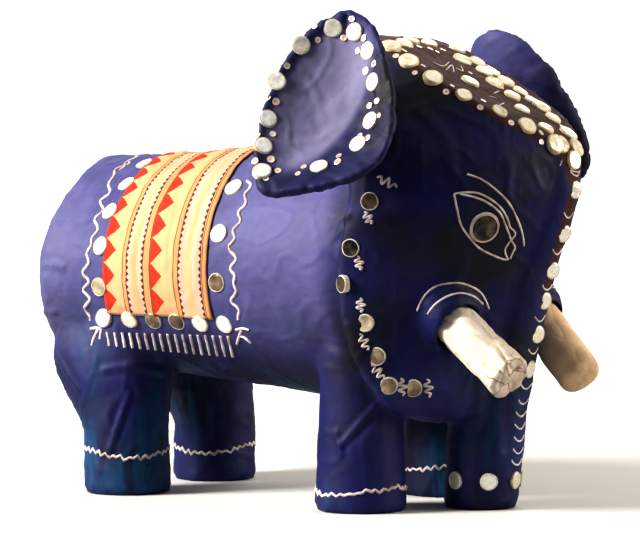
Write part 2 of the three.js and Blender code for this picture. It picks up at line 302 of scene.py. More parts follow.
def painted_skin():
    material, tree, shader = new_material("painted_skin", specular=0.32)
    # How pale the paint is, partly dust and partly a painted glare.
    haze = kept(tree, "haze")
    # Where shade is painted in as near-black navy.
    deep = kept(tree, "deep")
    dust_and_glare_amount = calc(tree, "MULTIPLY_ADD", haze, 0.45, 0.1)
    violet = use_group(tree, brushed_paint, Thick=VIOLET, Thin=NAVY, Dust=DUST_AND_GLARE, Dustiness=dust_and_glare_amount)
    plum = use_group(tree, brushed_paint, Thick=PLUM, Thin=PLUM_DARK, Dust=DUST_AND_GLARE, Dustiness=0.05)
    # A pale film over the barrel, the rump and the ears: dust, and partly a painted glare.
    colour = blend(tree, times(tree, haze, 0.55), violet.outputs[0], DUST_AND_GLARE)
    # Painted shade: a mottled near-black navy on the head, the trunk, the legs and the ears' rims.
    shade_mottle = noise_in(tree, own_place(tree), 9, 4, Roughness=0.6)
    shade_tone = ramp(tree, shade_mottle, (0.4, SHADE_NAVY), (0.62, SHADE_BLUE))
    colour = blend(tree, deep, colour, shade_tone)
    down_the_leg = add(tree, "ShaderNodeMapping", Scale=(52, 52, 13), Vector=own_place(tree)).outputs[0]
    streaks = noise_in(tree, down_the_leg, 1, 5, Distortion=0.8)
    brushed = ramp(tree, streaks, (0.42, grey(0.1)), (0.6, grey(1)))
    colour = blend(tree, times(tree, kept(tree, "teal"), brushed), colour, TEAL)
    sharp = ramp(tree, kept(tree, "strip"), (0.42, grey(0)), (0.58, grey(1)))
    colour = blend(tree, sharp, colour, plum.outputs[0])
    coloured(tree, shader, colour)
    rough = calc(tree, "MULTIPLY_ADD", sharp, 0.22, violet.outputs["Roughness"])
    tree.links.new(rough, shader.inputs["Roughness"])
    paper = use_group(tree, pasted_paper, Step=0.55, Pucker=0.45)
    bumped(tree, shader, paper.outputs[0], 0.6, 0.0012)
    return material


painted_skin_material = painted_skin()
print("made", painted_skin_material.name)


# %% [markdown]
# ## The pasted skin
# The CAD body is exact but sharp where its drum, tubes and card meet. Real paper bridges those corners
# in soft webs. A voxel remesh gives the copy an even grid of points, a few rounds of averaging pull
# the corners soft, and noise adds the dents of hand work. The feet are put back on the floor after.

# %% Copy and remesh
def merged_copy(node, name):
    """A copy of a CAD node's mesh, its loose triangles joined, as a new object."""
    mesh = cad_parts[node].data.copy()
    mesh.name = name
    mesh.materials.clear()
    tool = bmesh.new()
    tool.from_mesh(mesh)
    bmesh.ops.remove_doubles(tool, verts=tool.verts, dist=1e-5)
    tool.to_mesh(mesh)
    tool.free()
    return placed(name, mesh)


def plain_mesh(piece, name):
    """The piece's shape with its modifiers applied. The modifiers are removed."""
    graph = bpy.context.evaluated_depsgraph_get()
    mesh = bpy.data.meshes.new_from_object(
        piece.evaluated_get(graph), preserve_all_data_layers=True, depsgraph=graph
    )
    mesh.name = name
    piece.modifiers.clear()
    piece.data = mesh
    return piece


def remeshed(piece, voxel):
    change = piece.modifiers.new("remesh", "REMESH")
    change.mode = "VOXEL"
    change.voxel_size = voxel
    return plain_mesh(piece, piece.name)


def points_of(mesh):
    flat = np.zeros(len(mesh.vertices) * 3)
    mesh.vertices.foreach_get("co", flat)
    return flat.reshape(-1, 3)


def normals_of(mesh):
    flat = np.zeros(len(mesh.vertices) * 3)
    mesh.vertex_normals.foreach_get("vector", flat)
    return flat.reshape(-1, 3)


def put_points(mesh, points):
    mesh.vertices.foreach_set("co", points.ravel())
    mesh.update()


def eased(mesh, rounds, pull=0.6):
    """The mesh's points after each has moved towards the middle of its neighbours."""
    pairs = np.zeros(len(mesh.edges) * 2, int)
    mesh.edges.foreach_get("vertices", pairs)
    a, b = pairs.reshape(-1, 2).T
    points = points_of(mesh)
    count = np.bincount(np.concatenate([a, b]), minlength=len(points))
    for _ in range(rounds):
        total = np.stack([
            np.bincount(a, points[b, k], len(points)) + np.bincount(b, points[a, k], len(points))
            for k in range(3)
        ], 1)
        points = points + pull * (total / count[:, None] - points)
    return points


SKIN_VOXEL = 0.0034
SKIN_ROUNDS = 7
skin = remeshed(merged_copy("body", "painted_body"), SKIN_VOXEL)
put_points(skin.data, eased(skin.data, SKIN_ROUNDS))
print("skin has", len(skin.data.vertices), "points")


# %% [markdown]
# ## Dents, puckers and folds
# Wide dents come from slow noise. Puckers come from the sharp crests of faster noise. The long folds
# that the maker left, at the haunch, the knee and the neck, are lines drawn over the skin: points near
# a line are lifted into a low ridge with a hollow beside it. The slits in the ears are lines that press
# in, and the ears' rims get lumps and pinches of their own.

# %% Dents and puckers
def noise_at(points, scale, seed):
    shift = Vector((seed * 3.7, seed * 1.3, seed * 2.1))
    return np.array([noise.noise(Vector(p) * scale + shift) for p in points])


def crest_at(points, scale, seed):
    """Noise with sharp crests, from 0 to 1."""
    return 1 - np.abs(noise_at(points, scale, seed)) * 2


def roughened(mesh):
    """The mesh's points with dents and puckers. Heights are in metres."""
    points = points_of(mesh)
    dents = noise_at(points, 13, 1) * 0.0015 + noise_at(points, 34, 2) * 0.0007
    puckers = np.maximum(crest_at(points, 26, 3) - 0.72, 0) * 0.0036
    fine = np.maximum(crest_at(points, 70, 4) - 0.8, 0) * 0.0024
    return points + normals_of(mesh) * (dents + puckers + fine)[:, None]


rough_points = roughened(skin.data)
put_points(skin.data, rough_points)
print("lowest point", round(rough_points[:, 2].min() * 1000, 2), "mm")


# %% Where a line of sight meets the skin
def skin_tree(piece):
    """What a line can be cast against."""
    mesh = piece.data
    faces = [tuple(f.vertices) for f in mesh.polygons]
    return BVHTree.FromPolygons([v.co.copy() for v in mesh.vertices], faces)


def met(tree, start, way):
    """The first point met by a line, and the normal there, or None."""
    spot, normal, _, _ = tree.ray_cast(start, way)
    return (spot, normal) if spot else None


RIGHT = Vector((0.84339, 0.53730, 0.0))
UP = Vector((-0.0150, 0.02355, 0.99961))
FOCAL = LENS / SENSOR * PHOTO[0]


def sight(x, y, side=1):
    """The line from the camera through a place in the picture, or its mirror image for side -1."""
    way = aim * FOCAL + RIGHT * (x - PHOTO[0] / 2) + UP * (PHOTO[1] / 2 - y)
    start = camera.location.copy()
    if side < 0:
        way.y = -way.y
        start.y = -start.y
    return start, way.normalized()


def seen(tree, x, y, side=1):
    """The point of the skin seen at a place in the picture, and its normal, or None."""
    return met(tree, *sight(x, y, side))


bare = skin_tree(skin)
print("picture place 280,260 is", [round(v, 3) for v in seen(bare, 280, 260)[0]])

# %% Long folds, as picture places, with how high and how wide
FOLDS = [
    ([(128.5, 394), (118, 425), (108.6, 452)], 0.002, 0.0034),
    ([(56.5, 354), (66, 372), (78, 389)], 0.002, 0.0038),
    ([(42, 266), (52, 264), (62, 268)], 0.0014, 0.004),
    ([(42, 314), (54, 312)], 0.0014, 0.004),
    ([(374, 407), (356, 428), (340, 445)], 0.0022, 0.0034),
    ([(336, 432), (337, 443), (340, 454)], 0.0018, 0.0034),
    ([(347, 215), (342, 224), (339, 234)], 0.0018, 0.004),
    ([(104, 370), (130, 366), (162, 372)], 0.002, 0.004),
    ([(330, 352), (352, 366), (384, 398)], 0.0016, 0.006),
    ([(300, 70), (316, 92), (322, 118)], 0.0007, 0.004),
    ([(334, 130), (318, 140), (300, 142)], 0.0007, 0.004),
    ([(346, 12), (346, 22), (345, 34)], -0.0026, 0.0026),
    ([(374, 88), (374, 96), (373, 104)], -0.003, 0.003),
    ([(474, 330), (482, 372), (478, 420)], 0.0014, 0.006),
    ([(505, 370), (497, 410), (499, 455)], 0.0014, 0.006),
    ([(420, 110), (446, 138), (452, 170)], 0.0012, 0.006),
]


def along(places, step=2.0):
    """Picture places a step apart on a smooth curve through those given."""
    knots = [places[0], *places, places[-1]]
    out = []
    for a, b, c, d in zip(knots, knots[1:], knots[2:], knots[3:]):
        a, b, c, d = (np.array(p, float) for p in (a, b, c, d))
        count = max(2, int(np.linalg.norm(c - b) / step))
        for t in np.arange(count) / count:
            out.append(0.5 * (2 * b + (c - a) * t + (2 * a - 5 * b + 4 * c - d) * t * t
                              + (3 * b - a - 3 * c + d) * t ** 3))
    return [*out, np.array(places[-1], float)]


def smooth(value, low, high):
    t = np.clip((value - low) / (high - low), 0, 1)
    return t * t * (3 - 2 * t)


FOLD_REACH = 0.12


def folded(mesh):
    """The mesh's points with the long folds laid on it, on both sides."""
    points = points_of(mesh)
    lift = np.zeros(len(points))
    for places, height, width in FOLDS:
        for side in (1, -1):
            hits = [seen(bare, x, y, side) for x, y in along(places, 4.0)]
            line = np.array([h[0] for h in hits if h])
            near = np.where(np.linalg.norm(points - line.mean(0), axis=1) < FOLD_REACH)[0]
            gap = np.linalg.norm(points[near, None] - line[None], axis=2).min(1)
            ridge = np.exp(-((gap / width) ** 2)) - 0.45 * np.exp(-(((gap - 1.8 * width) / width) ** 2))
            lift[near] += height * ridge
    return points + normals_of(mesh) * lift[:, None]


def in_picture(points, side):
    """Where points fall in the picture, or their mirror images for side -1."""
    reach = points * np.array([1, side, 1]) - np.array(camera.location)
    depth = reach @ np.array(aim)
    x = PHOTO[0] / 2 + FOCAL * (reach @ np.array(RIGHT)) / depth
    y = PHOTO[1] / 2 - FOCAL * (reach @ np.array(UP)) / depth
    return x, y


LEFT_EAR_BENT = 0.017


def spread(points):
    """The left ear's upper edge is bent back a little further than the right one's."""
    _, y, z = points.T
    across, _ = in_picture(points, 1)
    share = smooth(y, 0.14, 0.17) * smooth(z, 0.4, 0.46) * smooth(-across, -560, -496)
    return points - LEFT_EAR_BENT * share[:, None] * np.array(RIGHT)


EAR_MIDDLE = (319, 98)
BOWL_REACH = (44, 74)
EAR_LEAN = 0.42


def off_centre(points, side):
    """How far points are from the middle of an ear: about 1 at its mirrors, more at its rim."""
    x, y = in_picture(points, side)
    down = y - EAR_MIDDLE[1]
    return np.hypot((x - EAR_MIDDLE[0] + EAR_LEAN * down) / BOWL_REACH[0], down / BOWL_REACH[1])


def puckered(mesh, points):
    """The rims of the ears gathered into lumps and pinches, where the paper was turned over them."""
    _, y, z = points.T
    ears = smooth(np.abs(y), 0.16, 0.175) * smooth(z, 0.31, 0.33)
    out = np.where(y < 0, off_centre(points, 1), off_centre(points, -1))
    rim = ears * smooth(out, 0.95, 1.15)
    pinches = np.maximum(crest_at(points, 34, 6) - 0.5, 0) * -0.0034
    lumps = 0.0013 + noise_at(points, 24, 8) * 0.0018 + noise_at(points, 60, 18) * 0.0008
    return points + normals_of(mesh) * (rim * (pinches + lumps))[:, None]


skin_points = spread(puckered(skin.data, folded(skin.data)))
NEAR_FLOOR = 0.0022
ground = points_of(skin.data)[:, 2] < NEAR_FLOOR
skin_points[ground, 2] = np.minimum(skin_points[ground, 2], 0.0)
skin_points[:, 2] = np.maximum(skin_points[:, 2], 0.0)
put_points(skin.data, skin_points)
skin_bvh = skin_tree(skin)
print("folds laid:", len(FOLDS))


# %% [markdown]
# ## Where each paint goes
# The strip covers the flat ramp of the forehead, from the crown to the brow, and a narrow tail of it
# runs down the face. The ramp's height at each distance forward is known, so a point belongs to the
# strip when it is on the ramp, and the tail is a matter of how far a point is from the middle. The bowls
# of the ears are ovals in the picture, and the other shares fade over a place and a height.

# %% Paint attributes
RAMP = [(0.05, 0.500), (0.104, 0.495), (0.128, 0.486), (0.164, 0.466), (0.197, 0.446),
        (0.245, 0.417), (0.273, 0.399), (0.299, 0.382), (0.32, 0.345)]


TRUNK_STARTS = 0.16


def strip_share(points):
    """Where the forehead's plum brown goes: the ramp and the tail down the face."""
    x, y, z = points.T
    height = np.interp(x, *np.array(RAMP).T)
    level = smooth(z - height, -0.0085, -0.0055)
    on_ramp = level * smooth(x, 0.056, 0.064) * smooth(-np.abs(y), -0.15, -0.14)
    wide = np.interp(z, [0.2, 0.24, 0.34, 0.38], [0.003, 0.008, 0.01, 0.03])
    tail = smooth(wide - np.abs(y), -0.002, 0.002) * smooth(x, 0.27, 0.275) * smooth(z, 0.2, 0.21)
    return np.maximum(on_ramp, tail)


def teal_share(points):
    """Where a greener blue was brushed over the legs, and more thinly over the trunk."""
    x, _, z = points.T
    patches = smooth(noise_at(points * np.array([1, 1, 0.45]), 17, 9), -0.02, 0.4)
    return smooth(-z, -0.24, -0.06) * patches * np.where(x > TRUNK_STARTS, 0.35, 0.85)


EAR_FACING = np.array([0.209, 0.88, 0.426])


def bowl_share(points, normals):
    """The scooped faces of the ears, without their rims."""
    shares = []
    for side in (1, -1):
        oval = smooth(-off_centre(points, side), -1.12, -0.86)
        outward = normals @ (EAR_FACING * [1, -side, 1]) > 0.3
        outside = smooth(-points[:, 1] * side, 0.155, 0.175)
        shares.append(oval * outward * outside)
    return np.maximum(*shares)


def on_ear(points):
    _, y, z = points.T
    return smooth(np.abs(y), 0.145, 0.16) * smooth(z, 0.3, 0.33)


def dust_and_glare_share(points, normals):
    """Where the paint is pale, partly dust from handling and partly a painted glare: the barrel,
    the rump and the bowls of the ears.
    """
    x, y, z = points.T
    barrel = smooth(-x, -0.12, -0.08) * smooth(z, 0.12, 0.2)
    streaks = 0.7 + 0.5 * noise_at(points, 7, 21)
    # The backs of the ears are paler too, partly a painted glare.
    backs = on_ear(points) * (normals[:, 1] * y < 0)
    light = np.maximum(barrel, backs * 0.8) * streaks * 0.52
    return np.clip(np.maximum(light, bowl_share(points, normals)), 0, 1)


def painted_shade_share(points, normals):
    """Painted shade, a near-black navy: the head, the trunk, the legs and the rims of the ears."""
    x, y, z = points.T
    head = smooth(x, 0.075, 0.11) * smooth(z, 0.09, 0.15)
    trunk = smooth(x, TRUNK_STARTS, 0.19)
    # More painted shade low on the legs and on the outer faces of the ears' rims.
    legs = 0.85 * smooth(-z, -0.25, -0.13)
    ears = on_ear(points)
    rims = ears * np.where(normals[:, 1] * np.sign(y) > 0, 0.85, 0.1)
    deep = np.maximum.reduce([head * (1 - ears), trunk, legs, rims]) * (1 - bowl_share(points, normals))
    patches = 0.92 + 0.35 * noise_at(points, 9, 31)
    return np.clip(deep * patches, 0, 1)


def store(mesh, name, values):
    layer = mesh.attributes.new(name, "FLOAT", "POINT")
    layer.data.foreach_set("value", np.asarray(values, np.float32))


skin_normals = normals_of(skin.data)
store(skin.data, "strip", strip_share(skin_points))
store(skin.data, "teal", teal_share(skin_points))
store(skin.data, "haze", dust_and_glare_share(skin_points, skin_normals))
store(skin.data, "deep", painted_shade_share(skin_points, skin_normals))
skin.data.materials.append(painted_skin_material)
skin.data.shade_smooth()
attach(skin, "root")
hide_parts("body")
print("points in the strip", int((strip_share(skin_points) > 0.5).sum()))


# %% [markdown]
# ## The saddle cloth
# A strip of printed cotton is glued over the back from hem to hem. It is a grid of points laid on the
# drum by lines that aim at the drum's axis, so it follows every dent. Its own flat map, called UV, runs
# across the strip and along it, and the print is drawn on that map, as it is on the real cloth.

# %% Lay the cloth
DRUM_AXIS = 0.251
CLEAR_OF_DRUM = 0.3
CLOTH_REAR, CLOTH_FORE = -0.2012, -0.0582
HEM = math.radians(-22.5)
FRAY = 0.0009
GLUE_LIFT, GLUE_RIPPLE = 0.0011, 0.0007
CLOTH_THICKNESS = 0.0008


def on_skin(start, way):
    return met(skin_bvh, start, way.normalized())


def on_drum(x, up):
    """The skin's point at x and an angle up from the left side, and its normal."""
    out = Vector((0, math.cos(up), math.sin(up)))
    return on_skin(Vector((x, 0, DRUM_AXIS)) + out * CLEAR_OF_DRUM, -out)


def lay_cloth(across=48, over=170):
    """The cloth's mesh, so many points across and over the back, and its length."""
    points, flat = [], []
    length = 0.0
    rows = np.linspace(HEM, math.pi - HEM, over)
    before = None
    for j, up in enumerate(rows):
        middle = on_drum((CLOTH_REAR + CLOTH_FORE) / 2, up)[0]
        length += (middle - before).length if before else 0
        before = middle
        for i in range(across):
            share = i / (across - 1)
            at_edge = i in (0, across - 1)
            edge = FRAY * noise.noise(Vector((share * 3, up * 9, 4))) if at_edge else 0
            x = CLOTH_REAR + (CLOTH_FORE - CLOTH_REAR) * share + edge
            spot, normal = on_drum(x, up)
            lift = GLUE_LIFT + GLUE_RIPPLE * noise.noise(Vector((x * 40, up * 6, 2)))
            points.append(spot + normal * lift)
            flat.append((share, length))
    faces = [
        (j * across + i, (j + 1) * across + i, (j + 1) * across + i + 1, j * across + i + 1)
        for j in range(over - 1) for i in range(across - 1)
    ]
    mesh = bpy.data.meshes.new("printed_cloth")
    mesh.from_pydata(points, [], faces)
    layer = mesh.uv_layers.new(name="UVMap")
    for loop in mesh.loops:
        layer.data[loop.index].uv = flat[loop.vertex_index]
    return mesh, length


cloth_mesh, cloth_length = lay_cloth()
cloth = placed("printed_cloth", cloth_mesh)
out_there = cloth_mesh.polygons[len(cloth_mesh.polygons) // 2].normal.z
print("cloth is", round(cloth_length, 3), "m long; its top faces", "up" if out_there > 0 else "down")


# %% [markdown]
# ## The cloth's print
# The print repeats two stripes of tall red triangles on cream, and between them pale bands edged with
# small dark triangles and thin brown lines. Each stripe is one test on how far across the strip a
# point is, and a triangle's edge is a line whose place swings to and fro along the strip.

# %% The print's material
CLOTH_CREAM = shade(228, 188, 144)
CLOTH_PEACH = shade(226, 166, 114)
CLOTH_PINK = shade(226, 190, 168)
CLOTH_RED = shade(202, 68, 48)
CLOTH_DARK = shade(96, 60, 64)
CLOTH_LINE = shade(146, 92, 56)
RED_PITCH = 0.0275
DARK_PITCH = 0.0069
PALE_BANDS = ((0.228, 0.395), (0.725, 0.945))
PEACH_BANDS = ((0.395, 0.44), (0.69, 0.725), (0.955, 1.1))
BROWN_LINES = (0.188, 0.445, 0.682, 0.95)
LINE_BREADTH = 0.0085
RED_BANDS = ((-1, 0.006), (0.4535, 0.46))


def printed_cloth():
    material, tree, shader = new_material("printed_cotton", roughness=0.85, specular=0.25)
    flat = add(tree, "ShaderNodeUVMap").outputs[0]
    wobble = add(tree, "ShaderNodeTexNoise", {"noise_dimensions": "2D"}, Vector=flat, Scale=9, Detail=1)
    parts = add(tree, "ShaderNodeSeparateXYZ", Vector=flat)
    shift = calc(tree, "MULTIPLY_ADD", wobble.outputs[0], 0.02, -0.01)
    across = calc(tree, "ADD", parts.outputs[0], shift)
    length = parts.outputs[1]

    def teeth(pitch):
        """From 0 to a half and back along the cloth, once for each triangle."""
        return calc(tree, "PINGPONG", times(tree, length, 1 / pitch), 0.5)

    def band(colour, low, high, paint):
        """The colours so far, with a band of paint from low to high across the cloth."""
        above = calc(tree, "GREATER_THAN", across, low)
        return blend(tree, times(tree, above, calc(tree, "LESS_THAN", across, high)), colour, paint)

    big = teeth(RED_PITCH)
    small = teeth(DARK_PITCH)
    colour = band(CLOTH_CREAM, 0.195, 0.228, CLOTH_PEACH)
    for low, high in PALE_BANDS:
        middle = (low + high) / 2
        colour = band(colour, low, high, CLOTH_PINK)
        colour = band(colour, middle - 0.03, middle + 0.03, CLOTH_CREAM)
        rise = calc(tree, "MULTIPLY_ADD", small, 0.05, low + 0.004)
        colour = band(colour, low, rise, CLOTH_DARK)
        fall = calc(tree, "MULTIPLY_ADD", small, -0.05, high - 0.004)
        colour = band(colour, fall, high, CLOTH_DARK)
    for low, high in PEACH_BANDS:
        colour = band(colour, low, high, CLOTH_PEACH)
    for line in BROWN_LINES:
        colour = band(colour, line, line + LINE_BREADTH, CLOTH_LINE)
    bulge = calc(tree, "POWER", times(tree, big, 2.0), 0.8)
    for low, start in RED_BANDS:
        red_edge = calc(tree, "MULTIPLY_ADD", bulge, 0.112, start)
        colour = band(colour, low, red_edge, CLOTH_RED)

    soil = add(tree, "ShaderNodeTexNoise", {"noise_dimensions": "2D"}, Vector=flat, Scale=14, Detail=5)
    soiled = ramp(tree, soil.outputs[0], (0.45, grey(1)), (0.75, (0.8, 0.76, 0.74)))
    colour = blend(tree, 0.8, colour, soiled, "MULTIPLY")
    coloured(tree, shader, colour)
    threads = []
    for place, count in ((0, 260), (1, 1800)):
        wave = calc(tree, "SINE", times(tree, parts.outputs[place], count * 2))
        threads.append(calc(tree, "ABSOLUTE", wave))
    weave = times(tree, threads[0], threads[1])
    bumped(tree, shader, weave, 0.35, 0.0003)
    return material


cloth.data.materials.append(printed_cloth())
thicken = cloth.modifiers.new("thickness", "SOLIDIFY")
thicken.thickness = CLOTH_THICKNESS
thicken.offset = 1.0 if out_there > 0 else -1.0
plain_mesh(cloth, "printed_cloth")
cloth.data.shade_smooth()
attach(cloth, "root")
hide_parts("saddle_cloth")
print("cloth faces", len(cloth.data.polygons))


# %% [markdown]
# ## A tree that sets discs
# Mirrors and sequins are the same job: a small disc, copied to many places, each facing out of the
# skin, each a little different. Geometry Nodes does that in one tree. It copies the disc onto points,
# turns it to the point's own direction, gives it a random spin, and makes its outline uneven.

# %% The tree
def new_geometry_tree(name, sockets):
    tree = bpy.data.node_groups.new(name, "GeometryNodeTree")
    tree.is_modifier = True
    for label, kind in [("Geometry", "NodeSocketGeometry"), *sockets]:
        tree.interface.new_socket(label, in_out="INPUT", socket_type=kind)
    tree.interface.new_socket("Geometry", in_out="OUTPUT", socket_type="NodeSocketGeometry")
    given = tree.nodes.new("NodeGroupInput").outputs
    result = tree.nodes.new("NodeGroupOutput")
    return tree, given, result


def stored(tree, name, kind):
    return add(tree, "GeometryNodeInputNamedAttribute", {"data_type": kind}, Name=name).outputs[0]


def make_disc_tree():
    tree, given, result = new_geometry_tree("set discs on skin", [
        ("Disc", "NodeSocketObject"),
        ("Seed", "NodeSocketInt"),
        ("Unevenness", "NodeSocketFloat"),
        ("Rim finish", "NodeSocketMaterial"),
        ("Face finish", "NodeSocketMaterial"),
    ])
    disc = add(tree, "GeometryNodeObjectInfo", _0=given["Disc"])
    facing = stored(tree, "facing", "FLOAT_VECTOR")
    turned = add(tree, "FunctionNodeAlignRotationToVector", {"axis": "Z"}, Vector=facing)
    spin = add(tree, "FunctionNodeRandomValue", {"data_type": "FLOAT"}, Seed=given["Seed"])
    spin.inputs[3].default_value = 2 * math.pi
    about = add(tree, "FunctionNodeAxisAngleToRotation", Axis=(0, 0, 1), Angle=spin.outputs[1])
    whole = add(tree, "FunctionNodeRotateRotation", {"rotation_space": "LOCAL"},
                _0=turned.outputs[0], _1=about.outputs[0])
    copies = add(tree, "GeometryNodeInstanceOnPoints", Points=given["Geometry"],
                 Instance=disc.outputs["Geometry"], Rotation=whole.outputs[0],
                 Scale=stored(tree, "size", "FLOAT"))
    real = add(tree, "GeometryNodeRealizeInstances", Geometry=copies.outputs[0])
    bumps = add(tree, "ShaderNodeTexNoise", Scale=90, Detail=1)
    centred = add(tree, "ShaderNodeVectorMath", {"operation": "SUBTRACT"},
                  _0=bumps.outputs[1], _1=(0.5, 0.5, 0.5))
    offset = add(tree, "ShaderNodeVectorMath", {"operation": "SCALE"},
                 _0=centred.outputs[0], Scale=given["Unevenness"])
    uneven = add(tree, "GeometryNodeSetPosition", Geometry=real.outputs[0], Offset=offset.outputs[0])
    rims = add(tree, "GeometryNodeSetMaterial", Geometry=uneven.outputs[0], Material=given["Rim finish"])
    faces = add(tree, "GeometryNodeSetMaterial", Geometry=rims.outputs[0],
                Selection=stored(tree, "face", "BOOLEAN"), Material=given["Face finish"])
    tree.links.new(faces.outputs[0], result.inputs[0])
    return tree


disc_tree = make_disc_tree()
print("tree inputs", [s.name for s in disc_tree.interface.items_tree if s.in_out == "INPUT"])


# %% Run a tree on a piece
def grown(piece, tree, values):
    """The piece after the tree has run on it, as a plain mesh."""
    change = piece.modifiers.new(tree.name, "NODES")
    change.node_group = tree
    for socket in tree.interface.items_tree:
        if socket.in_out == "INPUT" and socket.name in values:
            change[socket.identifier] = values[socket.name]
    piece.update_tag()
    bpy.context.view_layer.update()
    return plain_mesh(piece, piece.name)


print("node groups so far", len(bpy.data.node_groups))

# %% [markdown]
# ## The discs themselves
# A shisha mirror is thin glass, cut round by hand, set in a ring of dried white glue. A sequin is a
# small cupped disc with a hole. Each is a short profile turned about the Z axis. The faces of the
# glass are marked, so that the tree can give them the mirror finish.

# %% Turn a profile
def turned_disc(name, profile, face_from, steps=22):
    """A disc of unit radius turned from (radius, height) pairs. Faces from face_from on are glass."""
    tool = bmesh.new()
    turns = [2 * math.pi * k / steps for k in range(steps)]
    rings = [
        [tool.verts.new((radius * math.cos(t), radius * math.sin(t), height)) for t in turns]
        for radius, height in profile
    ]
    glass = tool.faces.layers.bool.new("face")
    for row, (low, high) in enumerate(zip(rings, rings[1:])):
        for k in range(steps):
            n = (k + 1) % steps
            made = tool.faces.new((low[k], low[n], high[n], high[k]))
            made[glass] = row >= face_from
    made = tool.faces.new(rings[-1])
    made[glass] = True
    tool.faces.new(rings[0][::-1])
    mesh = bpy.data.meshes.new(name)
    tool.to_mesh(mesh)
    tool.free()
    return placed(name, mesh)


mirror_disc = turned_disc("mirror_pattern", [
    (1.05, -0.45), (1.04, 0.03), (0.99, 0.13), (0.92, 0.15),
    (0.9, 0.12), (0.87, 0.15), (0.8, 0.168), (0.3, 0.172),
], 4)
eye_disc = turned_disc("eye_pattern", [
    (1.02, -0.2), (1.0, 0.02), (0.97, 0.07), (0.94, 0.1), (0.7, 0.115), (0.3, 0.125),
], 3, 40)
brow_disc = turned_disc("brow_pattern", [
    (1.0, -0.5), (1.04, 0.02), (1.0, 0.2), (0.93, 0.27), (0.84, 0.28), (0.3, 0.3),
], 4)
sequin_disc = turned_disc("sequin_pattern", [
    (0.95, -0.1), (1.0, 0.12), (0.85, 0.16), (0.45, 0.1), (0.22, 0.1), (0.2, -0.05),
], 4, 14)
print("mirror pattern faces", len(mirror_disc.data.polygons))


# %% Mirror, glue and sequin finishes
def mirror_glass():
    """Old craft mirror: each piece has its own tone, kept on its points as tone. The tone is a painted
    reflection, near black where a mirror shows dark things and cream-white where it shows bright light.
    """
    material, tree, shader = new_material("craft_mirror", metallic=0.4, roughness=0.12)
    tone = kept(tree, "tone")
    place = own_place(tree)
    cloud = noise_in(tree, place, 75, 2)
    tone = calc(tree, "ADD", tone, calc(tree, "MULTIPLY_ADD", cloud, 0.7, -0.35))
    # From tone to colour: a painted reflection, near black to cream-white.
    colour = ramp(tree, tone, (0.0, shade(14, 18, 18)), (0.3, shade(140, 122, 100)),
                  (0.6, shade(244, 232, 200)), (1.0, shade(253, 252, 248)))
    spots = noise_in(tree, place, 260, 3)
    worn = ramp(tree, spots, (0.4, grey(1)), (0.72, grey(0.72)))
    coloured(tree, shader, blend(tree, 0.7, colour, worn, "MULTIPLY"))
    tree.links.new(calc(tree, "MULTIPLY_ADD", spots, 0.3, 0.08), shader.inputs["Roughness"])
    bumped(tree, shader, noise_in(tree, place, 110, 1), 0.4, 0.0008)
    return material


def mottled(name, scale, detail, dark, pale, bump=None, **finish):
    """A finish of two blotched tones, each a (place on the ramp, colour). The blotches can stand up."""
    material, tree, shader = new_material(name, **finish)
    mottle = noise_in(tree, own_place(tree), scale, detail)
    coloured(tree, shader, ramp(tree, mottle, dark, pale))
    if bump:
        bumped(tree, shader, mottle, *bump)
    return material


def dried_glue(name, dark, pale):
    return mottled(name, 95, 3, (0.35, dark), (0.62, pale), (0.5, 0.0012), roughness=0.42)


glass_material = mirror_glass()
glue_material = dried_glue("dried_glue", shade(196, 178, 150), GLUE)
sequin_material = mottled("sequin_foil", 70, 2, (0.38, shade(206, 176, 166)),
                          (0.62, shade(238, 224, 208)), roughness=0.3, metallic=0.35)
print("made", glass_material.name, glue_material.name, sequin_material.name)


# %% [markdown]
# ## Where the mirrors go
# The mirrors round the cloth, the face and the trunk are CAD nodes, so their places are read from the
# frame: the middle of each, and the way it faces. Those on the ears and the forehead are given as
# places in the picture. Each is then settled on the skin by a few lines cast down round its rim.

# %% Read the CAD mirrors
cloth_bvh = skin_tree(cloth)


def cad_disc(node):
    """A CAD mirror's middle, the way it faces and its radius."""
    points = points_of(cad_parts[node].data)
    middle = points.mean(0)
    axis = np.linalg.svd(points - middle)[2][2]
    _, normal, _, _ = skin_bvh.find_nearest(Vector(middle))
    axis = Vector(axis if np.dot(axis, normal) > 0 else -axis)
    return Vector(middle), axis, float(np.linalg.norm(points - middle, axis=1).max())


def above_rim(middle, facing, radius, height, steps):
    """Places above a disc's rim, from which lines are cast down onto the skin."""
    side = facing.orthogonal().normalized()
    other = facing.cross(side)
    for k in range(steps):
        turn = 2 * math.pi * k / steps
        yield middle + facing * height + (side * math.cos(turn) + other * math.sin(turn)) * radius


def settled(middle, facing, radius):
    """The disc's base, rested on the skin or the cloth: three quarters of its rim is above them."""
    hits = []
    for start in above_rim(middle, facing, radius * 0.85, 0.02, 12):
        for tree in (skin_bvh, cloth_bvh):
            spot, _, _, _ = tree.ray_cast(start, -facing, 0.04)
            if spot:
                hits.append((spot - middle).dot(facing))
    hits.sort()
    height = hits[int(len(hits) * 0.75)] if hits else 0.0
    return middle + facing * height


cad_mirrors = sorted(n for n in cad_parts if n.startswith("mirror"))
print("CAD mirrors", len(cad_mirrors))

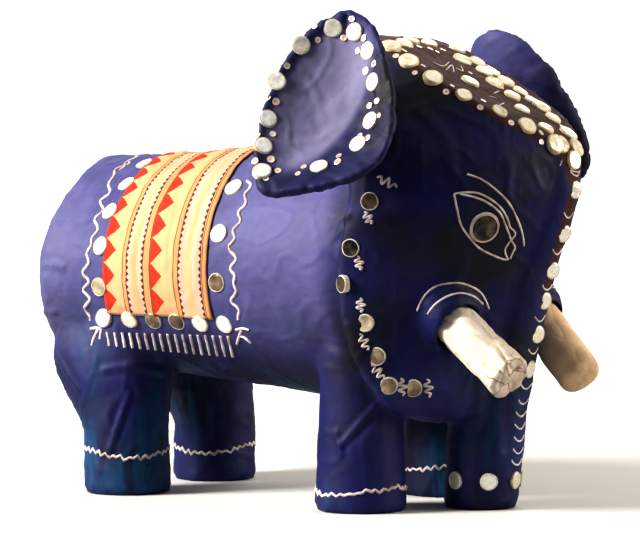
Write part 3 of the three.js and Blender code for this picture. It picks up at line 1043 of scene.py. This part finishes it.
# %% Mirrors on the ears and the forehead, as picture places
EAR_MIRROR_RADIUS = 0.0092
BROW_MIRROR_RADIUS = 0.0098
EAR_MIRRORS = [
    (263.6, 145.5), (268, 119), (277, 81), (301, 45), (333, 28), (355, 32),
    (368, 51), (372, 82), (371, 121), (358, 144), (319, 166.5), (262, 171),
]
BROW_MIRRORS = [
    (409, 61), (433, 78), (464, 95), (499, 112), (527, 126), (555, 144), (574, 160),
    (462, 61), (470, 82), (494, 84), (512, 97), (522, 110), (531.5, 101), (553, 119), (568, 134),
    (576, 148), (391, 47), (404, 45), (411, 41), (429, 44), (457, 50), (477, 63), (505, 83),
    (491, 73), (541, 108), (562, 144), (484, 72), (520, 92), (546, 128),
]


def mean_facing(spot, normal, radius):
    """The skin's mean direction over a disc's width."""
    total = normal.copy()
    for start in above_rim(spot, normal, radius, 0.015, 8):
        hit, way, _, _ = skin_bvh.ray_cast(start, -normal, 0.03)
        if hit:
            total += way
    return total.normalized()


def pictured_spots(places, radius, sides=(1, -1)):
    """The spots on the skin seen at those places, the ways discs on them face, and their radius."""
    found = []
    for side in sides:
        for x, y in places:
            hit = seen(skin_bvh, x, y, side)
            if hit:
                found.append((hit[0], mean_facing(*hit, radius), radius))
    return found


EAR_STARTS = 0.13


def on_brow(places, radius):
    """Those places that fall on the forehead and not on the ear behind it."""
    return [found for found in pictured_spots(places, radius, (1,)) if found[0].y < EAR_STARTS]


# Dark tones, painted dark reflections, for the face's mirrors and a few round the cloth.
FACE_REFLECTED_TONES = (0.2, 0.12, 0.2, 0.5, 0.3, 0.35, 0.3)
SADDLE_REFLECTED_TONES = {5: 0.4, 8: 0.22, 9: 0.16, 14: 0.22}


def reflected_tone(node, k):
    """How bright a CAD mirror's painted reflection is: the face's are dark, and so are a few round
    the cloth.
    """
    if "face" in node:
        return FACE_REFLECTED_TONES[(k - 1) % len(FACE_REFLECTED_TONES)]
    if "saddle" in node:
        return SADDLE_REFLECTED_TONES.get(k)
    return None


TOWARDS_NEAR_SIDE = Vector((0.5, -0.8, 0))
TOWARDS_REAR = Vector((-0.32, 0, 0))
dice = random.Random(7)
skin_mirrors = [n for n in cad_mirrors if "eye" not in n]
mirror_rows = []
for node in skin_mirrors:
    middle, facing, radius = cad_disc(node)
    number = int(node[-2:])
    tone = reflected_tone(node, number)
    # Any other mirror gets a pale tone at random, a painted reflection of bright light.
    tone = dice.uniform(0.8, 1) if tone is None else tone
    spot = settled(middle, facing, radius)
    if "face" in node:
        radius *= 0.9
        facing = (facing + TOWARDS_REAR * (number > 2)).normalized()
    if "trunk" in node and middle.z > 0.15:
        facing = (facing + TOWARDS_NEAR_SIDE * 0.6).normalized()
    mirror_rows.append((spot, facing, radius * 0.97, tone))
# The ears' mirrors get the palest tones, a painted reflection of bright light.
for spot, facing, radius in pictured_spots(EAR_MIRRORS, EAR_MIRROR_RADIUS):
    mirror_rows.append((settled(spot, facing, radius), facing, radius, dice.choice([1, 1, 0.9])))
brow_rows = []
# The forehead discs' cream tones are a painted reflection too.
for spot, facing, radius in on_brow(BROW_MIRRORS, BROW_MIRROR_RADIUS):
    radius *= dice.uniform(0.88, 1.12)
    leaning = (facing + TOWARDS_NEAR_SIDE * dice.uniform(0.08, 0.3)).normalized()
    brow_rows.append((settled(spot, facing, radius), leaning, radius, dice.uniform(0.52, 0.68)))
print("mirrors on the cloth, face, trunk and ears", len(mirror_rows))


# %% Set the mirrors
def point_cloud(name, rows):
    """Points with the way they face, their size and their tone kept on them."""
    mesh = bpy.data.meshes.new(name)
    mesh.from_pydata([r[0] for r in rows], [], [])
    facing = mesh.attributes.new("facing", "FLOAT_VECTOR", "POINT")
    facing.data.foreach_set("vector", np.array([r[1] for r in rows], np.float32).ravel())
    store(mesh, "size", [r[2] for r in rows])
    store(mesh, "tone", [r[3] for r in rows])
    return placed(name, mesh)


def set_discs(name, rows, disc, seed, unevenness, rim, face):
    """The tree run on a cloud of points, with those values."""
    return grown(point_cloud(name, rows), disc_tree, {
        "Disc": disc, "Seed": seed, "Unevenness": unevenness, "Rim finish": rim, "Face finish": face,
    })


mirrors = set_discs("craft_mirrors", mirror_rows, mirror_disc, 3, 0.0016, glue_material, glass_material)
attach(mirrors, "root")
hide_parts(*skin_mirrors)
print("mirror faces", len(mirrors.data.polygons))

# %% [markdown]
# ## The forehead and the eyes
# The forehead's discs are thicker, sit in yellowed glue and lean towards the near side. The eyes are
# larger mirrors with a thin edge, their glass painted near black as a dark reflection. Both are made
# by the same tree.

# %% The forehead's discs
yellow_glue = dried_glue("yellowed_glue", shade(216, 196, 152), shade(242, 230, 198))
brow_mirrors = set_discs("brow_mirrors", brow_rows, brow_disc, 8, 0.0026, yellow_glue, glass_material)
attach(brow_mirrors, "root")
print("forehead discs", len(brow_rows))

# %% The eyes
EYES = ("mirror_eye_right", "mirror_eye_left")
# The eyes' glass is near black, a painted dark reflection.
EYE_REFLECTED_TONE = 0.04
eye_rows = []
for node in EYES:
    middle, facing, radius = cad_disc(node)
    eye_rows.append((settled(middle, facing, radius), facing, radius, EYE_REFLECTED_TONE))
eyes = set_discs("eye_mirrors", eye_rows, eye_disc, 2, 0.0008, glue_material, glass_material)
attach(eyes, "root")
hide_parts("mirror_eye_right", "mirror_eye_left")
print("eye faces", len(eyes.data.polygons))

# %% [markdown]
# ## Sequins
# Small pierced sequins sit between the ears' mirrors and on the forehead, beside its discs. They use the
# same tree with a smaller disc.

# %% Sequins
EAR_SEQUINS = [
    (318, 40), (287, 66), (268, 98), (276, 102), (258, 136), (273, 134), (352, 19), (344, 38),
    (364, 38), (358, 51), (374, 64), (366, 71), (377, 101), (370, 106), (379, 115.5), (360, 135.5),
    (368, 138), (339, 156), (338, 162), (304, 167), (298, 174), (271, 159.5), (278, 171), (266, 179),
    (255, 161), (315, 27),
]
BROW_SEQUINS = [
    (396, 56), (415, 73), (446, 92), (480, 107.5), (511, 123), (541, 142), (423, 66), (437, 52),
    (452, 86), (470, 73), (480, 72), (483, 101), (430, 49), (501, 88), (541, 133), (562, 127),
    (488, 66), (494, 63), (419, 47), (404, 51), (443, 50),
]
sequin_rows = [
    (settled(s, f, r) + f * 0.0002, f, r * dice.uniform(0.85, 1.15), 1.0)
    for s, f, r in pictured_spots(EAR_SEQUINS, 0.0036) + on_brow(BROW_SEQUINS, 0.0031)
]
sequins = set_discs("sequins", sequin_rows, sequin_disc, 5, 0.0006, sequin_material, glue_material)
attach(sequins, "root")
for pattern in (mirror_disc, brow_disc, eye_disc, sequin_disc):
    bpy.data.objects.remove(pattern)
print("sequins", len(sequin_rows))


# %% [markdown]
# ## A tree that squeezes paint along a path
# Puff paint comes out of a bottle as a bead. The beads are drawn here as thin paths on the skin, and
# one tree turns each path into a round bead whose thickness wanders as a hand's pressure does.

# %% The bead tree
def make_bead_tree():
    tree, given, result = new_geometry_tree("beads of paint", [
        ("Radius", "NodeSocketFloat"),
        ("Unevenness", "NodeSocketFloat"),
        ("Finish", "NodeSocketMaterial"),
    ])
    curve = add(tree, "GeometryNodeMeshToCurve", Mesh=given["Geometry"])
    wander = add(tree, "ShaderNodeTexNoise", Scale=130, Detail=2)
    swing = times(tree, calc(tree, "SUBTRACT", wander.outputs[0], 0.5), given["Unevenness"])
    breadth = times(tree, stored(tree, "breadth", "FLOAT"), given["Radius"])
    radius = times(tree, breadth, calc(tree, "ADD", swing, 1.0))
    ring = add(tree, "GeometryNodeCurvePrimitiveCircle", Resolution=7, Radius=1.0)
    bead = add(tree, "GeometryNodeCurveToMesh", Curve=curve.outputs[0],
               Profile_Curve=ring.outputs[0], Scale=radius, Fill_Caps=True)
    real = add(tree, "GeometryNodeRealizeInstances", Geometry=bead.outputs[0])
    done = add(tree, "GeometryNodeSetMaterial", Geometry=real.outputs[0], Material=given["Finish"])
    tree.links.new(done.outputs[0], result.inputs[0])
    return tree


bead_tree = make_bead_tree()
print("tree inputs", [s.name for s in bead_tree.interface.items_tree if s.in_out == "INPUT"])


# %% Puff paint's finish
puff_material = mottled("puff_paint", 60, 4, (0.36, shade(186, 166, 160)), (0.58, CREAM_PAINT),
                        (0.4, 0.001), roughness=0.5)
print("made", puff_material.name)

# %% [markdown]
# ## The painted lines
# The eye, the arcs over the tusks and the strokes under the cloth are drawn as picture places and cast
# onto the skin, with a mirror image for the side that the picture doesn't show. The rings round the
# ankles and the arcs down the trunk follow a rule, because they go all the way round.

# %% Lines drawn in the picture
EYE_LINES = [
    [(467, 174), (481, 179), (495, 189), (508, 202), (516, 216), (522, 232), (524, 246)],
    [(454, 194), (457, 209), (461, 225), (469.5, 237.5), (479, 248), (492, 255), (504, 259.5),
     (509, 259)],
    [(454, 194), (462, 192.5), (477, 193), (490, 199), (501, 208), (507, 218), (510, 227), (514, 231),
     (515, 235), (511, 240), (506, 247), (505, 252), (508, 260)],
    [(460, 194), (474, 197), (488, 203), (500, 213), (505, 224), (509, 234), (511, 240), (515, 247),
     (513, 252), (510, 259)],
]
TUSK_ARCS = [
    [(417, 311), (422, 300), (429, 291), (440, 285), (458, 283), (472, 287), (481, 293), (486.5, 302),
     (489, 309)],
    [(427.5, 314), (435, 304.5), (447, 296.5), (461, 293), (474, 296.5), (483, 304)],
]
SADDLE_WAVES = [
    [(129.5, 162.5), (113, 174), (110.4, 188), (103, 201), (101, 211), (96, 223), (96, 234.5), (89, 246),
     (89, 256), (85, 269), (87, 281), (85.5, 289), (88, 299), (87, 307.5), (89, 322)],
    [(247, 181), (249, 188), (243, 206), (237, 226), (231, 246), (235, 263), (231, 271), (236, 283),
     (233, 297.5), (236, 307.5), (241, 321)],
]
CORNER_MARKS = [
    [(91.5, 345.5), (94, 338), (98, 330)],
    [(90.5, 328.5), (96, 328), (101, 329.5), (100.5, 334), (100, 339)],
    [(237, 344), (239, 337), (241.5, 330)],
    [(236, 330), (242, 328.5), (249, 330)],
    [(240, 336), (245, 338), (251, 343)],
]
# Each squiggle's middle, its slope in degrees and its span.
FACE_SQUIGGLES = [
    ((387, 182), 28, 22), ((368, 218), 60, 14), ((359, 263), 80, 14), ((360.5, 305), 88, 14),
    ((364, 342), 62, 18), ((378, 372), 48, 19), ((402, 387), 84, 17), ((428, 388), 84, 18),
]
FERNS = [
    [(433, 62), (443, 66), (449, 62)], [(446, 70), (452, 65), (454, 72)],
    [(456, 68), (463, 71), (461, 66)],
    [(490, 96), (497, 98)], [(494, 93), (499, 91)], [(518, 124), (524, 121)], [(504, 103), (498, 106)],
    [(569, 166), (573, 171), (579, 172)], [(560, 166), (562, 160)],
]


def squiggle(middle, slope, span):
    """A small wave of fabric paint round a place in the picture, tallest at its middle."""
    turn = math.radians(slope)
    ahead = np.array((math.cos(turn), math.sin(turn)))
    across = np.array((-math.sin(turn), math.cos(turn)))
    out = []
    for k in range(7):
        t = k / 6 - 0.5
        swing = 4.6 * (-1) ** k * (0.5 + 0.5 * math.cos(5 * t))
        out.append(tuple(np.array(middle) + ahead * span * t + across * swing))
    return out


COMB = [[(107 + 7.56 * k, 332 + 0.25 * k), (109.5 + 7.72 * k, 346 + 0.68 * k)] for k in range(17)]


def wavier(places, swing=2.3):
    """The same line with a smaller wave drawn along it."""
    return [(x + swing * math.sin(k * 0.72), y) for k, (x, y) in enumerate(along(places, 2.0))][::2]


drawn = [(line, 0.95) for line in [*EYE_LINES, *TUSK_ARCS]]
drawn += [(wavier(line), 1.55) for line in SADDLE_WAVES]
drawn += [(line, 1.35) for line in [*CORNER_MARKS, *COMB]]
drawn += [(squiggle(*s), 1.1) for s in FACE_SQUIGGLES]
print("lines drawn in the picture", len(drawn) + len(FERNS))


# %% Cast the lines onto the skin
SUNK = 0.0004
JUMP = 0.012


def sunk(hit):
    """A point a little below the skin, so that the bead sits in it."""
    return hit[0] - hit[1] * SUNK


def cast_path(places, side=1):
    """The path on the skin under a line in the picture, cut where it would jump."""
    runs, run = [], []
    for x, y in along(places, 1.2):
        hit = seen(skin_bvh, x, y, side)
        if hit and run and (hit[0] - run[-1]).length > JUMP:
            runs.append(run)
            run = []
        if hit:
            run.append(sunk(hit))
    return [r for r in [*runs, run] if len(r) > 2]


bead_paths = []
for side in (1, -1):
    for line, breadth in drawn:
        bead_paths += [(path, breadth) for path in cast_path(line, side)]
for line in FERNS:
    bead_paths += [(path, 0.62) for path in cast_path(line)]
print("paths", len(bead_paths))


# %% Lines that follow a rule
def inward(axis, z, turn, reach):
    """The skin met by a level line that aims at an upright axis."""
    out = Vector((math.cos(turn), math.sin(turn), 0))
    start = Vector((*axis, z)) + out * reach
    hit = on_skin(start, -out)
    return sunk(hit) if hit else None


CLEAR_OF_LEG = 0.068
CLEAR_OF_TRUNK = 0.3


def ankle_ring(axis, z, count, seed):
    """A zigzag of paint round an ankle, uneven as a hand draws it."""
    hand = random.Random(seed)
    path = []
    for k in range(count * 2 + 1):
        swing = (0.0021 if k % 2 else -0.0021) * hand.uniform(0.1, 1.5)
        turn = math.pi * (k + hand.uniform(-0.25, 0.25)) / count
        drift = 0.004 * math.sin(2 * turn + seed)
        spot = inward(axis, z + swing + drift, turn, CLEAR_OF_LEG)
        if spot:
            path.append(spot)
    fine = []
    for a, b in zip(path, path[1:]):
        for t in (0, 0.25, 0.5, 0.75):
            fine.append(sunk(skin_bvh.find_nearest(a.lerp(b, t))))
    return fine


# Each leg's axis and how high its ring stands.
ANKLES = [
    ((-0.2072, -0.085), 0.045), ((-0.2072, 0.085), 0.036),
    ((0.0998, -0.089), 0.022), ((0.0998, 0.089), 0.031),
]
ZIGZAGS = 32
for k, (axis, z) in enumerate(ANKLES):
    bead_paths.append((ankle_ring(axis, z, ZIGZAGS, k), 1.25))


BEHIND_TRUNK = (0.19, 0)
SMILE_HALF, SMILE_RISE = 0.011, 0.0058
SMILE_HEIGHTS = (0.351, 0.308, 0.270, 0.233, 0.200, 0.166, 0.129, 0.113, 0.100, 0.087, 0.074, 0.061,
                 0.049)


def trunk_arc(z):
    """A smile of paint, about 22 mm wide, on the front of the trunk."""
    half = SMILE_HALF / (inward(BEHIND_TRUNK, z, 0, CLEAR_OF_TRUNK).x - BEHIND_TRUNK[0])
    arc = [
        inward(BEHIND_TRUNK, z + SMILE_RISE * (t / half) ** 2 - 0.003, t, CLEAR_OF_TRUNK)
        for t in np.linspace(-half, half, 13)
    ]
    return [p for p in arc if p]


for z in SMILE_HEIGHTS:
    bead_paths.append((trunk_arc(z), 0.85))


EYE_RING = 0.0154


def eye_ring(node, radius):
    """The closed ring of paint round an eye's mirror."""
    middle, facing, _ = cad_disc(node)
    starts = list(above_rim(middle, facing, radius, 0.03, 48))
    hits = [on_skin(start, -facing) for start in [*starts, starts[0]]]
    return [sunk(hit) for hit in hits if hit]


for node in EYES:
    bead_paths.append((eye_ring(node, EYE_RING), 0.95))


def over_back(x0, x1, waves):
    """The part of a wave that crosses the top of the back."""
    path = []
    for k in range(25):
        t = k / 24
        up = math.radians(118 - t * 56)
        x = x0 + (x1 - x0) * abs(2 * t - 1) + 0.0035 * math.sin(t * waves * math.pi)
        path.append(sunk(on_drum(x, up)))
    return path


bead_paths.append((over_back(-0.243, -0.2386, 9), 1.3))
print("paths with the rings and arcs", len(bead_paths))


# %% Squeeze the paint
def path_mesh(name, paths):
    """Chains of edges along the paths, with each path's breadth kept on its points."""
    points, edges, breadth = [], [], []
    for path, width in paths:
        first = len(points)
        points += path
        breadth += [width] * len(path)
        edges += [(first + k, first + k + 1) for k in range(len(path) - 1)]
    mesh = bpy.data.meshes.new(name)
    mesh.from_pydata(points, edges, [])
    store(mesh, "breadth", breadth)
    return placed(name, mesh)


lines = grown(path_mesh("painted_lines", bead_paths), bead_tree, {
    "Radius": 0.0013,
    "Unevenness": 0.9,
    "Finish": puff_material,
})
lines.data.shade_smooth()
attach(lines, "root")
print("painted line faces", len(lines.data.polygons))


# %% [markdown]
# ## The tusks
# Each tusk is a roll of paper wrapped in crumpled off-white paper, with folded ends that have cracked
# and gone brown. The CAD roll is remeshed finely. Crests of noise make the crumples, and the stains
# follow the cracks and the end.

# %% Tusk finish
def crumpled_tusk(tone):
    """The near tusk is cooler and more cracked, the far one plainer, and the far one's warmer tan
    is painted warm shade.
    """
    material, tree, shader = new_material("crumpled_paper_" + tone, roughness=0.72, specular=0.3)
    place = own_place(tree)
    bend = add(tree, "ShaderNodeTexNoise", Vector=place, Scale=40, Detail=2)
    moved = add(tree, "ShaderNodeMix", {"data_type": "VECTOR"}, _0=0.018, _4=place, _5=bend.outputs[1])
    cracks = add(tree, "ShaderNodeTexVoronoi", {"feature": "DISTANCE_TO_EDGE"},
                 Vector=moved.outputs[1], Scale=46)
    crack = ramp(tree, cracks.outputs[0], (0.0, grey(1)), (0.045, grey(0)))
    worn = kept(tree, "worn")
    blotch = noise_in(tree, place, 24, 5, Roughness=0.65)
    patch = ramp(tree, blotch, (0.42, grey(0)), (0.62, grey(1)))
    if tone == "near":
        ground, smudge, at_end, all_over = TUSK, shade(226, 198, 174), 0.7, 0.22
    else:
        # The far tusk's warmer ground and darker smudge are painted warm shade.
        ground, smudge, at_end, all_over = shade(255, 226, 188), shade(206, 168, 134), 0.1, 0.03
    colour = blend(tree, times(tree, patch, 0.4), ground, smudge)
    share = times(tree, worn, calc(tree, "MULTIPLY_ADD", patch, 0.4, 0.2))
    colour = blend(tree, share, colour, shade(200, 170, 144))
    line = times(tree, crack, calc(tree, "MULTIPLY_ADD", worn, at_end, all_over))
    colour = blend(tree, line, colour, TUSK_STAIN)
    coloured(tree, shader, colour)
    paper = use_group(tree, pasted_paper, Sheets_per_metre=60.0, Step=0.7, Pucker=0.5)
    height = calc(tree, "SUBTRACT", paper.outputs[0], times(tree, line, 0.6))
    bumped(tree, shader, height, 0.7, 0.0012)
    return material


tusk_finishes = {tone: crumpled_tusk(tone) for tone in ("near", "far")}
print("made", [m.name for m in tusk_finishes.values()])


# %% Make the tusks
TUSK_VOXEL = 0.0013


def tusk(node, name, seed, tone):
    """A tusk from its CAD roll. The far one, turned away from the camera, is smoother."""
    near = tone == "near"
    piece = remeshed(merged_copy(node, name), TUSK_VOXEL)
    put_points(piece.data, eased(piece.data, 3 if near else 60))
    points = points_of(piece.data)
    normals = normals_of(piece.data)
    middle = points.mean(0)
    axis, side, other = np.linalg.svd(points - middle, full_matrices=False)[2]
    axis = axis if axis[2] < 0 else -axis
    reach = (points - middle) @ axis
    creases = np.maximum(crest_at(points - reach[:, None] * axis * 0.55, 62, seed) - 0.55, 0) * 0.0042
    dents = noise_at(points, 45, seed + 1) * 0.0016
    end = smooth(reach, reach.max() - 0.012, reach.max() - 0.002)
    rim = noise_at(points, 80, seed + 2) * 0.0016 * end
    turn = np.arctan2((points - middle) @ other, (points - middle) @ side)
    flats = -0.0016 * np.abs(np.sin(2.5 * turn + 0.7 + 9 * reach)) * (1 - end)
    lift = (dents - creases + rim + flats) if near else (dents - creases * 0.15)
    put_points(piece.data, points + normals * lift[:, None])
    store(piece.data, "worn", smooth(reach, reach.max() - 0.02, reach.max() - 0.004))
    piece.data.materials.append(tusk_finishes[tone])
    piece.data.shade_smooth()
    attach(piece, "root")
    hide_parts(node)
    return piece


tusks = [
    tusk("tusk_right", "paper_tusk_right", 11, "near"),
    tusk("tusk_left", "paper_tusk_left", 15, "far"),
]
print("tusk faces", [len(t.data.polygons) for t in tusks])


# %% [markdown]
# ## Floor, light and air
# One large soft lamp stands behind the elephant's right shoulder. It rakes the barrel and leaves the
# face in its own shadow, which three weaker lamps, named cards, lift a little. The room is bright to
# the camera and in reflections but dim as a light. The floor looks pale but sends back less light than
# that, so the belly stays dark, and it fades into the room with distance.

# %% The floor
FLOOR_HALF = 6.0
BOUNCED = grey(0.34)


def make_floor():
    mesh = bpy.data.meshes.new("floor")
    corners = [(x * FLOOR_HALF, y * FLOOR_HALF, 0) for x, y in ((-1, -1), (1, -1), (1, 1), (-1, 1))]
    mesh.from_pydata(corners, [], [(0, 1, 2, 3)])
    floor = placed("floor", mesh)
    material, tree, shader = new_material("pale_floor", roughness=0.7, specular=0.2)
    place = own_place(tree)
    pale = ramp(tree, noise_in(tree, place, 3, 2), (0.3, grey(0.84)), (0.7, grey(0.86)))
    bounce = add(tree, "ShaderNodeLightPath").outputs["Is Diffuse Ray"]
    coloured(tree, shader, blend(tree, bounce, pale, BOUNCED))
    reach = add(tree, "ShaderNodeVectorMath", {"operation": "LENGTH"}, _0=place).outputs["Value"]
    fade = add(tree, "ShaderNodeMapRange", {"interpolation_type": "SMOOTHSTEP"},
               Value=reach, From_Min=0.7, From_Max=2.0, To_Min=1.0, To_Max=0.0)
    tree.links.new(fade.outputs[0], shader.inputs["Alpha"])
    mesh.materials.append(material)
    floor.location.z = -0.0005
    return floor


floor = make_floor()
print("floor at", round(floor.location.z * 1000, 1), "mm")


# %% The lamps
LIT = Vector((0, 0, 0.25))


def lamp(name, place, size, watts, colour):
    """A round lamp that aims at the middle of the elephant."""
    data = bpy.data.lights.new(name, "AREA")
    data.shape = "DISK"
    data.size = size
    data.energy = watts
    data.color = colour
    made = placed(name, data)
    made.location = place
    made.rotation_euler = (LIT - Vector(place)).to_track_quat("-Z", "Y").to_euler()


lamp("key", (-2.09, -2.4, 1.94), 1.3, 180, (1.0, 0.95, 0.88))
lamp("side card", (-1.5, -2.6, 0.5), 1.3, 6, (1.0, 0.95, 0.87))
lamp("front card", (2.3, 1.3, 0.9), 1.7, 42, (1.0, 0.9, 0.77))
lamp("back card", (-0.85, 2.9, 1.7), 1.9, 30, (1.0, 0.93, 0.8))

room = bpy.data.worlds.new("room")
scene.world = room
room.use_nodes = True
air = room.node_tree
air.nodes.clear()
rays = add(air, "ShaderNodeLightPath").outputs
way = add(air, "ShaderNodeTexCoord").outputs["Generated"]
height = add(air, "ShaderNodeSeparateXYZ", Vector=way).outputs[2]
ceiling = calc(air, "MULTIPLY_ADD", calc(air, "MAXIMUM", height, 0.0), 1.15, 0.12)
to_camera = times(air, rays["Is Camera Ray"], 0.96)
strength = calc(air, "MAXIMUM", to_camera, times(air, rays["Is Glossy Ray"], ceiling))
strength = calc(air, "MAXIMUM", strength, 0.13)
glow = add(air, "ShaderNodeBackground", Color=(1, 0.99, 0.98, 1), Strength=strength)
add(air, "ShaderNodeOutputWorld", Surface=glow.outputs[0])
scene.view_settings.view_transform = "Standard"
scene.view_settings.look = "High Contrast"
